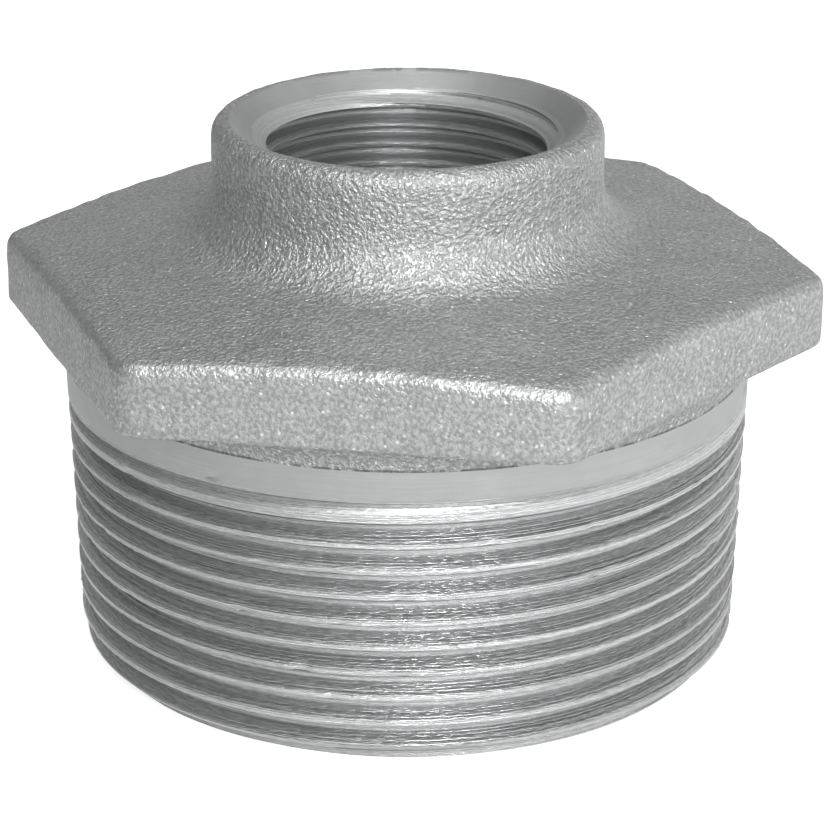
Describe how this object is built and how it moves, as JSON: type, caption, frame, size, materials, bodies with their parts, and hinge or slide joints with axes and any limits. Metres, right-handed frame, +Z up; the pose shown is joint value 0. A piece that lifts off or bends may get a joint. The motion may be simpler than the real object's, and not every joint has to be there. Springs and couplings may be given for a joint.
{
  "type": "hex bushing",
  "caption": "Reducing hexagon bush for threaded pipe: a hollow spigot with an outside taper thread, a hexagon for a spanner and a raised round boss with a smaller inside thread.",
  "frame": {"origin": "thread axis at the spigot's end face, on which the bush stands", "axes": "+Z up along the thread axis, from the spigot to the boss; +X through a corner of the hexagon; a flat faces -Y"},
  "size_m": [0.0726, 0.0636, 0.0476],
  "materials": {
    "galvanised_iron": "cast and galvanised"
  },
  "bodies": {
    "root": {"hex_bushing": "galvanised_iron"}
  },
  "joints": []
}
